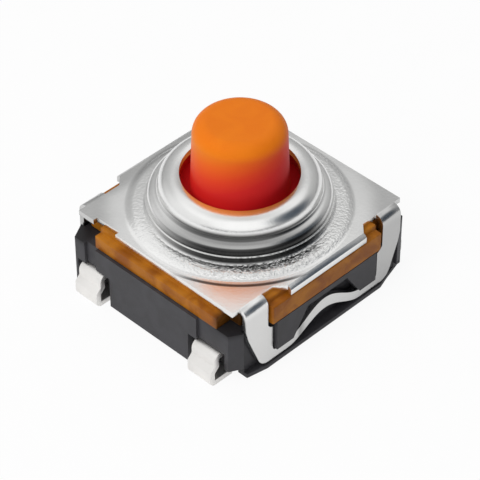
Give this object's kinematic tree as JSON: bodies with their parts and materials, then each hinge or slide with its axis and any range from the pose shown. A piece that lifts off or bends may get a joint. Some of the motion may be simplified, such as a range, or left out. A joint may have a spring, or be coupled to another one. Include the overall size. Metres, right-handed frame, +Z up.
{
  "type": "tactile push button switch",
  "caption": "Low square tactile push button switch for surface mounting, with an orange button in a drawn metal collar, a clipped metal cover and folded solder leads.",
  "frame": {"origin": "on the board, under the middle of the switch", "axes": "+X and -X towards the two sides with the leads, +Y and -Y towards the two sides with the clip straps, +Z up along the button"},
  "size_m": [0.0072, 0.0064, 0.0052],
  "materials": {
    "housing": "moulded dark grey thermoplastic, fine satin",
    "terminal": "stamped strip with a bright silver plating",
    "dome": "thin spring steel, plated",
    "film": "thin amber film",
    "seal": "amber silicone, satin",
    "cover": "drawn sheet, satin to bright",
    "button": "satin orange plastic"
  },
  "bodies": {
    "switch_body": {"housing": "housing", "terminal_centre": "terminal", "terminal_rim": "terminal", "snap_dome": "dome", "film": "film", "seal": "seal", "cover": "cover"},
    "button": {"actuator": "button"}
  },
  "joints": [
    {"name": "press", "type": "slide", "parent": "switch_body", "child": "button", "axis": [0, 0, -1], "range_m": [0, 0.00028], "stiffness_N_per_m": 9000, "deforming": ["snap_dome", "film"]}
  ]
}
